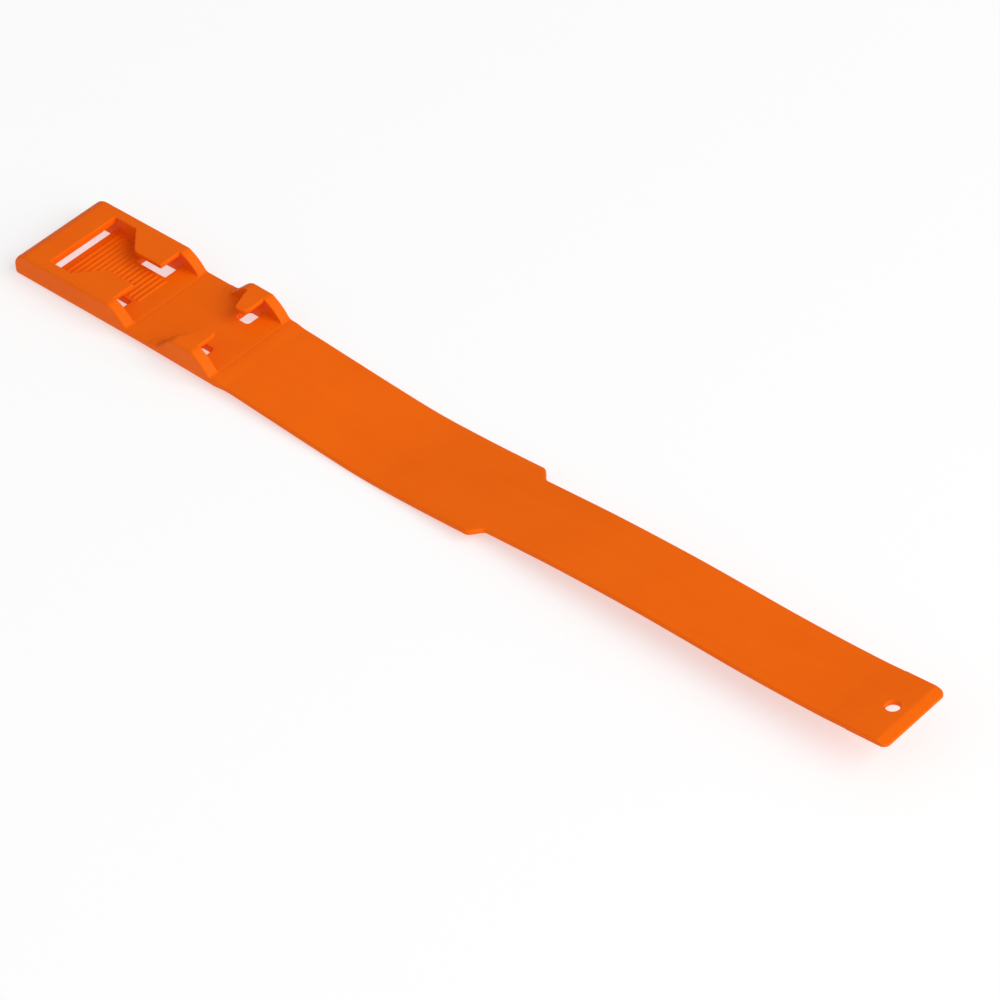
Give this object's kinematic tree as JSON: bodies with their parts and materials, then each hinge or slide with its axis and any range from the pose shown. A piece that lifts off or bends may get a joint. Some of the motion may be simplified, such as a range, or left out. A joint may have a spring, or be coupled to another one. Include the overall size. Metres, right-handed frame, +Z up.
{
  "type": "adjustable leg strap with claw buckle",
  "caption": "Flexible moulded plastic strap with a claw buckle head, ribbed floor, rear claws, stepped shoulders and a narrow tongue with a hole.",
  "frame": {"origin": "on the surface it lies on, under the middle of the box round the whole strap", "axes": "+X from the buckle head towards the tip of the tongue, +Y across the strap (left looking towards the tip), +Z up, the side the claws are on"},
  "size_m": [0.3816, 0.041, 0.0155],
  "materials": {
    "strap_plastic": "satin soft plastic, moulded in colour"
  },
  "bodies": {
    "head": {"buckle_head": "strap_plastic"},
    "claw_front_left": {"claw_front_left": "strap_plastic"},
    "claw_front_right": {"claw_front_right": "strap_plastic"},
    "claw_rear_left": {"claw_rear_left": "strap_plastic"},
    "claw_rear_right": {"claw_rear_right": "strap_plastic"},
    "rear_claw_plate": {"rear_claw_plate": "strap_plastic"},
    "strap_link_01": {"strap_link_01": "strap_plastic"},
    "strap_link_02": {"strap_link_02": "strap_plastic"},
    "strap_link_03": {"strap_link_03": "strap_plastic"},
    "strap_link_04": {"strap_link_04": "strap_plastic"},
    "strap_link_05": {"strap_link_05": "strap_plastic"},
    "shoulder_link": {"shoulder_link": "strap_plastic"},
    "tail_link_01": {"tail_link_01": "strap_plastic"},
    "tail_link_02": {"tail_link_02": "strap_plastic"},
    "tail_link_03": {"tail_link_03": "strap_plastic"},
    "tail_link_04": {"tail_link_04": "strap_plastic"},
    "tail_link_05": {"tail_link_05": "strap_plastic"},
    "tail_link_06": {"tail_link_06": "strap_plastic"},
    "tail_link_07": {"tail_link_07": "strap_plastic"},
    "tail_tip": {"tail_tip": "strap_plastic"}
  },
  "joints": [
    {"name": "head_flex", "type": "hinge", "parent": "head", "child": "rear_claw_plate", "pos_m": [-0.12822, 0, 0.0034], "axis": [0, 1, 0], "range_deg": [-18, 22], "stiffness_Nm_per_rad": 1.5, "springref_deg": -0.05},
    {"name": "strap_flex_01", "type": "hinge", "parent": "rear_claw_plate", "child": "strap_link_01", "pos_m": [-0.08865, 0, 0.0037], "axis": [0, 1, 0], "range_deg": [-18, 22], "stiffness_Nm_per_rad": 0.8, "springref_deg": -0.39},
    {"name": "strap_flex_02", "type": "hinge", "parent": "strap_link_01", "child": "strap_link_02", "pos_m": [-0.06765, 0, 0.00276], "axis": [0, 1, 0], "range_deg": [-18, 22], "stiffness_Nm_per_rad": 0.6, "springref_deg": -0.81},
    {"name": "strap_flex_03", "type": "hinge", "parent": "strap_link_02", "child": "strap_link_03", "pos_m": [-0.04665, 0, 0.00173], "axis": [0, 1, 0], "range_deg": [-18, 22], "stiffness_Nm_per_rad": 0.6, "springref_deg": -1.13},
    {"name": "strap_flex_04", "type": "hinge", "parent": "strap_link_03", "child": "strap_link_04", "pos_m": [-0.02565, 0, 0.0011], "axis": [0, 1, 0], "range_deg": [-18, 22], "stiffness_Nm_per_rad": 0.6, "springref_deg": -1.49},
    {"name": "strap_flex_05", "type": "hinge", "parent": "strap_link_04", "child": "strap_link_05", "pos_m": [-0.00465, 0, 0.00207], "axis": [0, 1, 0], "range_deg": [-18, 22], "stiffness_Nm_per_rad": 0.6, "springref_deg": -1.2},
    {"name": "strap_flex_06", "type": "hinge", "parent": "strap_link_05", "child": "shoulder_link", "pos_m": [0.01635, 0, 0.00376], "axis": [0, 1, 0], "range_deg": [-18, 22], "stiffness_Nm_per_rad": 0.6, "springref_deg": -0.94},
    {"name": "strap_flex_07", "type": "hinge", "parent": "shoulder_link", "child": "tail_link_01", "pos_m": [0.03735, 0, 0.0058], "axis": [0, 1, 0], "range_deg": [-18, 22], "stiffness_Nm_per_rad": 0.5, "springref_deg": -0.87},
    {"name": "strap_flex_08", "type": "hinge", "parent": "tail_link_01", "child": "tail_link_02", "pos_m": [0.05575, 0, 0.00749], "axis": [0, 1, 0], "range_deg": [-18, 22], "stiffness_Nm_per_rad": 0.4, "springref_deg": -0.84},
    {"name": "strap_flex_09", "type": "hinge", "parent": "tail_link_02", "child": "tail_link_03", "pos_m": [0.07415, 0, 0.00869], "axis": [0, 1, 0], "range_deg": [-18, 22], "stiffness_Nm_per_rad": 0.4, "springref_deg": -0.63},
    {"name": "strap_flex_10", "type": "hinge", "parent": "tail_link_03", "child": "tail_link_04", "pos_m": [0.09255, 0, 0.00957], "axis": [0, 1, 0], "range_deg": [-18, 22], "stiffness_Nm_per_rad": 0.4, "springref_deg": -0.44},
    {"name": "strap_flex_11", "type": "hinge", "parent": "tail_link_04", "child": "tail_link_05", "pos_m": [0.11095, 0, 0.00997], "axis": [0, 1, 0], "range_deg": [-18, 22], "stiffness_Nm_per_rad": 0.4, "springref_deg": -0.29},
    {"name": "strap_flex_12", "type": "hinge", "parent": "tail_link_05", "child": "tail_link_06", "pos_m": [0.12935, 0, 0.01026], "axis": [0, 1, 0], "range_deg": [-18, 22], "stiffness_Nm_per_rad": 0.4, "springref_deg": -0.17},
    {"name": "strap_flex_13", "type": "hinge", "parent": "tail_link_06", "child": "tail_link_07", "pos_m": [0.14775, 0, 0.01102], "axis": [0, 1, 0], "range_deg": [-18, 22], "stiffness_Nm_per_rad": 0.4, "springref_deg": -0.08},
    {"name": "strap_flex_14", "type": "hinge", "parent": "tail_link_07", "child": "tail_tip", "pos_m": [0.16615, 0, 0.01225], "axis": [0, 1, 0], "range_deg": [-18, 22], "stiffness_Nm_per_rad": 0.4, "springref_deg": -0.03},
    {"name": "claw_front_left_flex", "type": "hinge", "parent": "head", "child": "claw_front_left", "pos_m": [-0.15473, 0.016, 0.0098], "axis": [-0.9995, 0, -0.0304], "range_deg": [-2, 15], "stiffness_Nm_per_rad": 0.3},
    {"name": "claw_front_right_flex", "type": "hinge", "parent": "head", "child": "claw_front_right", "pos_m": [-0.15473, -0.016, 0.0098], "axis": [0.9995, 0, 0.0304], "range_deg": [-2, 15], "stiffness_Nm_per_rad": 0.3},
    {"name": "claw_rear_left_flex", "type": "hinge", "parent": "rear_claw_plate", "child": "claw_rear_left", "pos_m": [-0.10748, 0.016, 0.01116], "axis": [-1, 0, -0.0076], "range_deg": [-2, 15], "stiffness_Nm_per_rad": 0.3},
    {"name": "claw_rear_right_flex", "type": "hinge", "parent": "rear_claw_plate", "child": "claw_rear_right", "pos_m": [-0.10748, -0.016, 0.01116], "axis": [1, 0, 0.0076], "range_deg": [-2, 15], "stiffness_Nm_per_rad": 0.3}
  ]
}
